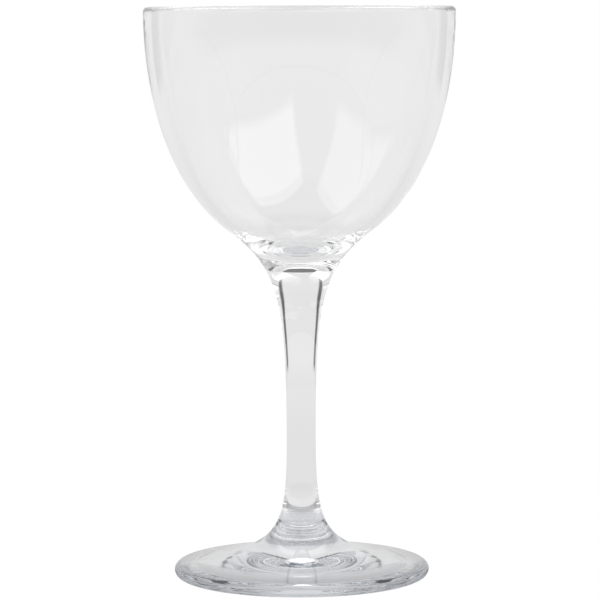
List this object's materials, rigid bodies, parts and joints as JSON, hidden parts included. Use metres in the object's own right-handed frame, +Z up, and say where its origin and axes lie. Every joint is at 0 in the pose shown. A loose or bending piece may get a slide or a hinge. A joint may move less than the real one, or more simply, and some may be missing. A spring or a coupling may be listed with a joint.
{
  "type": "nick and nora glass",
  "caption": "Clear stemmed cocktail glass with a deep rounded bowl, a slim drawn stem and a flat round foot, for serving short chilled drinks.",
  "frame": {"origin": "centre of the foot on the plane of the table", "axes": "+Z up along the axis of the glass; the glass is a body of revolution, so X and Y are free"},
  "size_m": [0.0794, 0.0794, 0.146],
  "materials": {
    "bowl_glass": "clear, fire-polished",
    "stem_glass": "clear, fire-polished",
    "foot_glass": "clear, pressed and fire-polished"
  },
  "bodies": {
    "root": {"bowl": "bowl_glass", "stem": "stem_glass", "foot": "foot_glass"}
  },
  "joints": []
}
